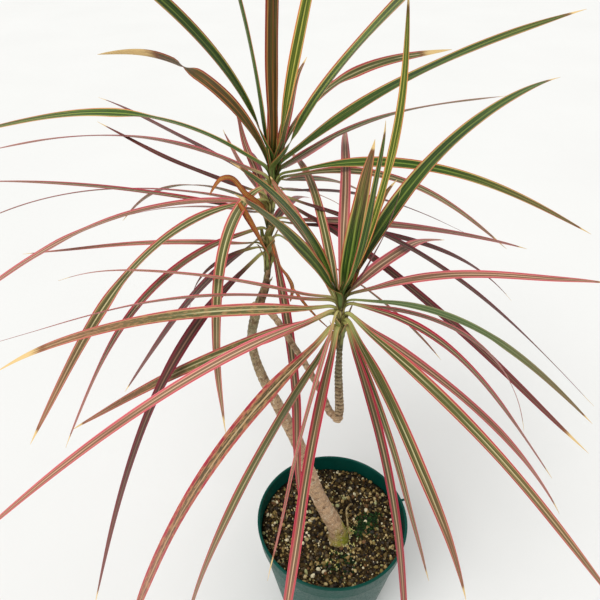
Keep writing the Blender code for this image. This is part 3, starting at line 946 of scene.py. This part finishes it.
def strand(name, stem, look, seed, sides=10, step=0.8 * MM):
    """A tapering lumpy tube."""
    rows, stops = even_rows(stem, step)
    _, left, up = frames(rows[:, :3])
    vertices = []
    for i, row in enumerate(rows):
        for x, y in around(1, sides):
            lump = 1 + 0.22 * grain_noise(x * 2 + seed, y * 2, stops[i] * 260)
            vertices.append(row[:3] + row[3] * MM / 2 * lump * (x * left[i] + y * up[i]))
    return mesh_piece(name, vertices, loop_faces(len(rows), sides), look)


ROOT_LOOK = root_look()
PEEL_LOOK = dead_bark_look("peeling_bark", srgb(58, 40, 28), srgb(138, 112, 82))
strand("surface_root", SURFACE_ROOT, ROOT_LOOK, 3)
strand("dead_twig", DEAD_TWIG, PEEL_LOOK, 5, sides=8, step=0.5 * MM)

FLAKE_ROWS, FLAKE_COLUMNS = 9, 7
FLAKE_THICKNESS = 0.3 * MM
RISES_FROM = 400 * MM


def bark_flake(name, centre_height, azimuth, lift, size, seed):
    """A curled plate of dead bark, held to the neck at one edge."""
    path, radii = stem_curve(slim_top(TRUNK, NECK_FROM), 12)
    late = path[:, 2] > RISES_FROM
    path, radii = path[late], radii[late]
    height, width = size
    outer, inner = [], []
    for i in range(FLAKE_ROWS):
        z = (centre_height + (i / (FLAKE_ROWS - 1) - 0.5) * height) * MM
        centre = at_height(z, path, path)
        radius = np.interp(z, path[:, 2], radii)
        for k in range(FLAKE_COLUMNS):
            u = k / (FLAKE_COLUMNS - 1)
            ragged = 0.12 * grain_noise(i * 0.9 + seed, k * 0.7)
            angle = math.radians(azimuth) + (u + ragged) * width * MM / radius
            out = radius + 0.35 * MM + lift * MM * u**2 + 0.5 * MM * abs(grain_noise(i * 0.6, seed, k * 0.5))
            way = np.array([math.cos(angle), math.sin(angle), 0])
            outer.append(centre + out * way)
            inner.append(centre + (out - FLAKE_THICKNESS) * way)
    grid = np.arange(len(outer)).reshape(FLAKE_ROWS, FLAKE_COLUMNS)
    back = len(outer)
    quads = np.stack([grid[:-1, :-1], grid[:-1, 1:], grid[1:, 1:], grid[1:, :-1]], axis=-1).reshape(-1, 4)
    rim = np.r_[grid[0, :-1], grid[:-1, -1], grid[-1, :0:-1], grid[:0:-1, 0]]
    after = np.roll(rim, -1)
    edges = np.stack([after, rim, rim + back, after + back], axis=1)
    faces = np.vstack([quads, quads[:, ::-1] + back, edges]).tolist()
    mesh_piece(name, outer + inner, faces, PEEL_LOOK)


# Flakes of bark: height in mm, azimuth, lift of the free edge in mm, and (height, width) in mm.
FLAKES = (
    (441, 200, 1.6, (13, 6)), (447, 285, 1.2, (10, 5)), (453, 230, 1.0, (9, 5)), (436, 320, 0.8, (9, 6)),
    (459, 300, 1.4, (8, 4)), (432, 250, 0.7, (8, 5)),
)
for number, flake in enumerate(FLAKES):
    bark_flake(f"bark_flake_{number + 1}", *flake, number * 2.3)

# ------------ pot

POT_HEIGHT = 145 * MM
RIM_RADIUS = 77.5 * MM
BAND_HEIGHT = 21 * MM
BAND_STEP = 2.2 * MM
BASE_RADIUS = 56 * MM
POT_WALL = 1.5 * MM
LIP_WIDTH = 1.2 * MM
LIP_HEIGHT = 3 * MM
FLOOR_THICKNESS = 2 * MM
POT_SIDES = 112
SHOULDER_STEP = 0.8 * MM
LEDGE = 1.2 * MM
HOLES = 8
HOLE_RADIUS = 5 * MM
HOLE_CIRCLE = 40 * MM
FLOOR_LIFT = 1.2 * MM
RIM_TAB = (
    ((74.6, 20.4, 142.5), 2.6), ((77.6, 21, 143.6), 2.4), ((80.6, 21.2, 144.2), 2.2),
    ((83, 20.2, 143.6), 2.0), ((84, 18.4, 141.6), 1.8), ((83.4, 17.4, 139.8), 1.5),
)


def wall_radius(height):
    """The wall's outer radius below the band."""
    top = RIM_RADIUS - BAND_STEP
    return BASE_RADIUS + (top - BASE_RADIUS) * height / (POT_HEIGHT - BAND_HEIGHT)


def rounded(outline, steps=4):
    """An open outline of (radius, height, fillet) corners, with a curve at each."""
    corners = [np.array(c[:2]) for c in outline]
    made = [corners[0]]
    for i in range(1, len(outline) - 1):
        before, here, after = corners[i - 1], corners[i], corners[i + 1]
        back, on = before - here, after - here
        fillet = min(outline[i][2], 0.45 * np.linalg.norm(back), 0.45 * np.linalg.norm(on))
        start, end = here + unit(back) * fillet, here + unit(on) * fillet
        for t in np.linspace(0, 1, steps):
            made.append((1 - t) ** 2 * start + 2 * t * (1 - t) * here + t * t * end)
    return made + [corners[-1]]


def turned(outline, sides):
    """Vertices and faces of an outline turned about Z, which starts and ends on the axis."""
    vertices = [(0, 0, outline[0][1])]
    for radius, height in outline[1:-1]:
        vertices += [(x, y, height) for x, y in around(radius, sides)]
    vertices.append((0, 0, outline[-1][1]))
    last = len(vertices) - 1
    faces = []
    for i in range(sides):
        j = (i + 1) % sides
        faces.append([0, 1 + j, 1 + i])
        for ring in range(len(outline) - 3):
            low, high = 1 + ring * sides, 1 + (ring + 1) * sides
            faces.append([low + i, low + j, high + j, high + i])
        top = 1 + (len(outline) - 3) * sides
        faces.append([top + i, top + j, last])
    return vertices, faces


def pot_outline():
    band = POT_HEIGHT - BAND_HEIGHT
    shoulder = RIM_RADIUS - SHOULDER_STEP
    return rounded((
        (0, FLOOR_LIFT, 0),
        (BASE_RADIUS - 9 * MM, FLOOR_LIFT, 0.6 * MM),
        (BASE_RADIUS - 8 * MM, 0, 0.5 * MM),
        (BASE_RADIUS - 1 * MM, 0, 0.8 * MM),
        (BASE_RADIUS, 1.6 * MM, 0.8 * MM),
        (wall_radius(band), band, 0.8 * MM),
        (shoulder, band + LEDGE, 0.7 * MM),
        (RIM_RADIUS, POT_HEIGHT - LIP_HEIGHT, 0.4 * MM),
        (RIM_RADIUS + LIP_WIDTH, POT_HEIGHT - LIP_HEIGHT + 0.5 * MM, 0.4 * MM),
        (RIM_RADIUS + LIP_WIDTH, POT_HEIGHT, 1.0 * MM),
        (RIM_RADIUS - POT_WALL, POT_HEIGHT, 0.7 * MM),
        (RIM_RADIUS - POT_WALL - 0.2 * MM, POT_HEIGHT - 2.2 * MM, 0.4 * MM),
        (shoulder - POT_WALL, band + LEDGE, 0.6 * MM),
        (wall_radius(band) - POT_WALL, band - 0.6 * MM, 0.6 * MM),
        (wall_radius(FLOOR_THICKNESS) - POT_WALL, FLOOR_THICKNESS + FLOOR_LIFT, 1.2 * MM),
        (BASE_RADIUS - 5 * MM, FLOOR_THICKNESS + FLOOR_LIFT, 0.5 * MM),
        (0, FLOOR_THICKNESS + FLOOR_LIFT, 0),
    ))


def build_pot():
    """The thin shell with its drainage holes cut, and the bent moulding tab at its rim."""
    look = pot_look()
    vertices, faces = turned(pot_outline(), POT_SIDES)
    pot = mesh_piece("pot_shell", vertices, faces, look, sharp=50)
    cutter = bmesh.new()
    round_hole = {"segments": 22, "radius1": HOLE_RADIUS, "radius2": HOLE_RADIUS, "depth": 9 * MM}
    for x, y in around(HOLE_CIRCLE, HOLES, 0.5):
        place = Matrix.Translation((x, y, FLOOR_THICKNESS))
        bmesh.ops.create_cone(cutter, cap_ends=True, matrix=place, **round_hole)
    mesh = bpy.data.meshes.new("drain_cutter")
    cutter.to_mesh(mesh)
    cutter.free()
    holes = placed("drain_cutter", mesh)
    cut = pot.modifiers.new("drain", "BOOLEAN")
    cut.object = holes
    apply_modifiers(pot)
    bpy.data.objects.remove(holes)
    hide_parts("nursery_pot")
    strand("rim_tab", RIM_TAB, look, 8, sides=12, step=0.5 * MM)


build_pot()

# ------------ potting mix

SOIL_MOUND = 3 * MM
SOIL_GAP = 0.3 * MM
SOIL_BRIM = RIM_RADIUS - SHOULDER_STEP - POT_WALL - SOIL_GAP
SOIL_RINGS = 46
SOIL_SIDES = 150
CANE_FOOT = np.array([7, -16]) * MM
COARSE_GRAINS = 900
FINE_GRAINS = 2000
# Each patch: x, y and spread in mm, and how many tufts.
MOSS_PATCHES = ((37, -1, 4.5, 230), (29, -7, 4, 70), (45, 7, 4, 60), (12, -42, 6, 60), (-8, -46, 5, 30))
PALE_FIBRES = ((19, -8, 3, 60), (17, -24, 3, 26), (-4, -40, 5, 24))


def soil_height(x, y):
    """The mix's surface: a low mound with lumps, sinking a little at the wall."""
    away = math.hypot(x, y) / SOIL_BRIM
    height = SOIL_TOP + SOIL_MOUND * (1 - away**2)
    height += 1.6 * MM * grain_noise(x * 45, y * 45, 3) + 0.8 * MM * grain_noise(x * 160, y * 160, 8)
    return height - 1.2 * MM * smooth(away, 0.9, 1.0)


def build_soil():
    """The mix as one closed body: the crumbly surface, and plain sides and bottom inside the pot."""
    look = soil_look()
    vertices = [(0, 0, soil_height(0, 0))]
    for ring in range(1, SOIL_RINGS + 1):
        for x, y in around(SOIL_BRIM * ring / SOIL_RINGS, SOIL_SIDES):
            vertices.append((x, y, soil_height(x, y) + 0.5 * MM * grain_noise(x * 420, y * 420)))
    band = POT_HEIGHT - BAND_HEIGHT
    inset = POT_WALL + SOIL_GAP
    low = FLOOR_THICKNESS + 1.5 * MM
    for radius, height in (
        (wall_radius(band) - inset, band - 1.5 * MM),
        (wall_radius(low) - inset, low + 1 * MM),
        (wall_radius(low) - inset - 2 * MM, low),
    ):
        vertices += [(x, y, height) for x, y in around(radius, SOIL_SIDES)]
    rings = SOIL_RINGS + 3
    faces = []
    for k in range(SOIL_SIDES):
        n = (k + 1) % SOIL_SIDES
        faces.append([0, 1 + k, 1 + n])
        for ring in range(rings - 1):
            a, b = 1 + ring * SOIL_SIDES, 1 + (ring + 1) * SOIL_SIDES
            faces.append([a + k, b + k, b + n, a + n])
    faces.append([1 + (rings - 1) * SOIL_SIDES + k for k in range(SOIL_SIDES)][::-1])
    soil = mesh_piece("potting_soil", vertices, faces, look)
    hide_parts("potting_mix")


def scatter(name, places, look, seed, rounds=1, lift=0.0):
    """Rough grains at (x, y, size, tint) places, sunk part way into the soil, as one mesh."""
    rng = np.random.default_rng(seed)
    ball, ball_faces = icosphere(rounds)
    vertices, faces, seeds = [], [], []
    for x, y, size, tint in places:
        stretch = rng.uniform(0.65, 1.15, 3) * np.array([1, 1, 0.8])
        rough = 1 + rng.uniform(-0.18, 0.18, len(ball))[:, None]
        turn = np.array(Euler(rng.uniform(0, math.tau, 3)).to_matrix())
        points = (ball * rough * stretch) @ turn.T * size / 2
        sunk = soil_height(x, y) + rng.uniform(-0.1, 0.34) * size + lift
        faces.append(ball_faces + len(vertices) * len(ball))
        vertices.append(points + np.array([x, y, sunk]))
        seeds += [tint] * len(ball)
    triangles = np.vstack(faces).tolist()
    mesh_piece(name, np.vstack(vertices), triangles, look, {"seed": seeds}, sharp=35)


def spread_places(rng, count, smallest, largest):
    """Random (x, y, size, tint) over the soil, clear of the cane."""
    places = []
    while len(places) < count:
        radius = (SOIL_BRIM - 1.5 * MM) * math.sqrt(rng.random())
        angle = rng.uniform(0, math.tau)
        x, y = radius * math.cos(angle), radius * math.sin(angle)
        if math.hypot(x - CANE_FOOT[0], y - CANE_FOOT[1]) > 10 * MM:
            places.append((x, y, rng.uniform(smallest, largest), rng.random()))
    return places


def patches(rng, spots, smallest, largest):
    """Random (x, y, size, tint) round each spot of (x, y, spread, count)."""
    places = []
    for x, y, spread, count in spots:
        for _ in range(count):
            x_at, y_at = (x + rng.normal(0, spread)) * MM, (y + rng.normal(0, spread)) * MM
            places.append((x_at, y_at, rng.uniform(smallest, largest), rng.random()))
    return places


def build_grains():
    """Coarse and fine grains, moss and pale fibres, each kind joined into one piece."""
    rng = np.random.default_rng(11)
    look = grain_look()
    scatter("coarse_grains", spread_places(rng, COARSE_GRAINS, 2.8 * MM, 5.2 * MM), look, 12, rounds=2)
    scatter("fine_grains", spread_places(rng, FINE_GRAINS, 1.3 * MM, 2.9 * MM), look, 14)
    moss = tuft_look("moss", srgb(14, 40, 16), srgb(56, 92, 34), srgb(16, 34, 16))
    places = patches(rng, MOSS_PATCHES, 1.4 * MM, 3.2 * MM)
    scatter("moss_tufts", places, moss, 13, rounds=2, lift=1.1 * MM)
    bleached = tuft_look("pale_fibres", srgb(214, 208, 150), srgb(168, 176, 84), srgb(190, 176, 110))
    places = patches(rng, PALE_FIBRES, 1.0 * MM, 2.4 * MM)
    scatter("pale_fibres", places, bleached, 15, rounds=2, lift=0.8 * MM)


build_soil()
build_grains()

# ------------ floor, light and camera

FLOOR_SIZE = 16
CAMERA_PLACE = (-0.034, -0.365, 0.710)
CAMERA_PITCH = 37.3
CAMERA_LENS, CAMERA_SENSOR = 36, 36
SKY_COLOUR = (1.0, 1.0, 0.99, 1)
SKY_STRENGTH = 0.72
SUN_STRENGTH = 2.0
SUN_SOFTNESS = 35
SUN_WAY = (0.45, 0.5, -1)


def build_stage():
    look = Look("pale_floor", roughness=0.9, specular=0.2)
    tint = look.noise(look.position(), 3.0, 3.0)
    look.set("Base Color", look.mix(tint, srgb(224, 224, 222), srgb(230, 230, 228)))
    mesh = bpy.data.meshes.new("floor")
    half = FLOOR_SIZE / 2
    corners = [(-half, -half, 0), (half, -half, 0), (half, half, 0), (-half, half, 0)]
    mesh.from_pydata(corners, [], [(0, 1, 2, 3)])
    mesh.materials.append(look.material)
    floor = placed("floor", mesh)


def build_light():
    world = bpy.data.worlds.new("soft_daylight")
    world.use_nodes = True
    sky = world.node_tree.nodes["Background"].inputs
    sky["Color"].default_value = SKY_COLOUR
    sky["Strength"].default_value = SKY_STRENGTH
    bpy.context.scene.world = world
    lamp = bpy.data.lights.new("window", "SUN")
    lamp.energy = SUN_STRENGTH
    lamp.angle = math.radians(SUN_SOFTNESS)
    holder = placed("window", lamp)
    holder.rotation_euler = Vector(SUN_WAY).to_track_quat("-Z", "Y").to_euler()


def build_camera():
    camera = bpy.data.cameras.new("camera")
    camera.lens = CAMERA_LENS
    camera.sensor_width = CAMERA_SENSOR
    holder = placed("camera", camera)
    holder.location = CAMERA_PLACE
    holder.rotation_euler = (math.radians(90 - CAMERA_PITCH), 0, 0)
    bpy.context.scene.camera = holder


build_stage()
build_light()
build_camera()
bpy.context.scene.view_settings.view_transform = "Standard"
